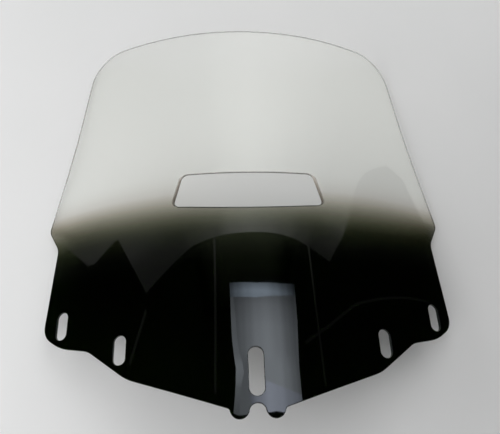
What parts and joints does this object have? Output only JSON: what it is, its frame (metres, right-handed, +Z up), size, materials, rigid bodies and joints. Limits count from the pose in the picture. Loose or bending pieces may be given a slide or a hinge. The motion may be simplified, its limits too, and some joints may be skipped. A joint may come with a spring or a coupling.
{
  "type": "motorcycle windshield",
  "caption": "Curved motorcycle windshield in one formed plastic sheet, clear above and smoke tinted below, with a vent opening, adjustment slots and locating tabs.",
  "frame": {"origin": "middle of the bounding box's underside, on the table that the screen lies on with its bulging outer side up", "axes": "+Z up, away from the table; +Y from the tabs toward the top edge of the screen; +X to the right, seen from the tabs"},
  "size_m": [0.6774, 0.7028, 0.1133],
  "materials": {
    "smoke_sheet": "polished transparent plastic, clear above, smoke tinted below"
  },
  "bodies": {
    "root": {"screen_sheet": "smoke_sheet"}
  },
  "joints": []
}
